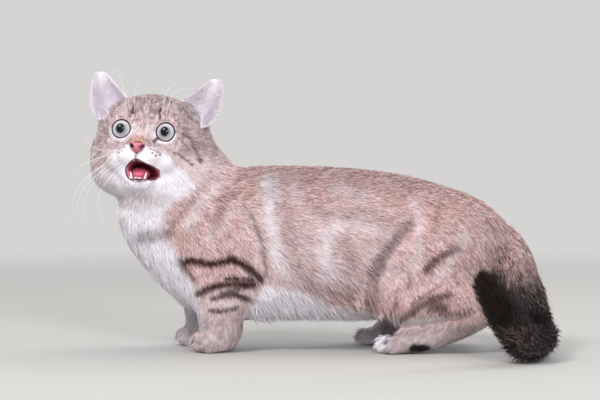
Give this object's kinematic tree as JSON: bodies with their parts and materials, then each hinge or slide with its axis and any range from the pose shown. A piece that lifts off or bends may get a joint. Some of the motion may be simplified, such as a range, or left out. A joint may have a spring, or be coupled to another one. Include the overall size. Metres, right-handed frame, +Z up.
{
  "type": "munchkin cat",
  "caption": "Life-size still model of a short-legged munchkin cat standing with its head turned and mouth open, tail curled round on the floor.",
  "frame": {"origin": "floor under the middle of the whole cat's box", "axes": "+Z up, -X the way the body faces, -Y the cat's left side, which the head looks to and the tail curls to"},
  "size_m": [0.4076, 0.2396, 0.2505],
  "materials": {
    "coat": "short plush fur, ticked and striped",
    "pale_coat": "short white fur",
    "dark_coat": "bushy brown-black fur",
    "iris": "wet, clear cornea over a pale iris",
    "nose_leather": "fine-grained, slightly moist",
    "tongue": "moist"
  },
  "bodies": {
    "root": {"head": "coat", "ear_left": "coat", "ear_right": "coat", "neck": "coat", "torso": "coat", "foreleg_left": "coat", "foreleg_right": "coat", "thigh_left": "coat", "thigh_right": "coat", "hind_foot_left": "coat", "hind_foot_right": "coat", "tail_root": "coat", "lower_jaw": "pale_coat", "forepaw_left": "pale_coat", "forepaw_right": "pale_coat", "tail_bend": "dark_coat", "tail_tip": "dark_coat", "eye_left": "iris", "eye_right": "iris", "nose": "nose_leather", "tongue": "tongue"}
  },
  "joints": []
}
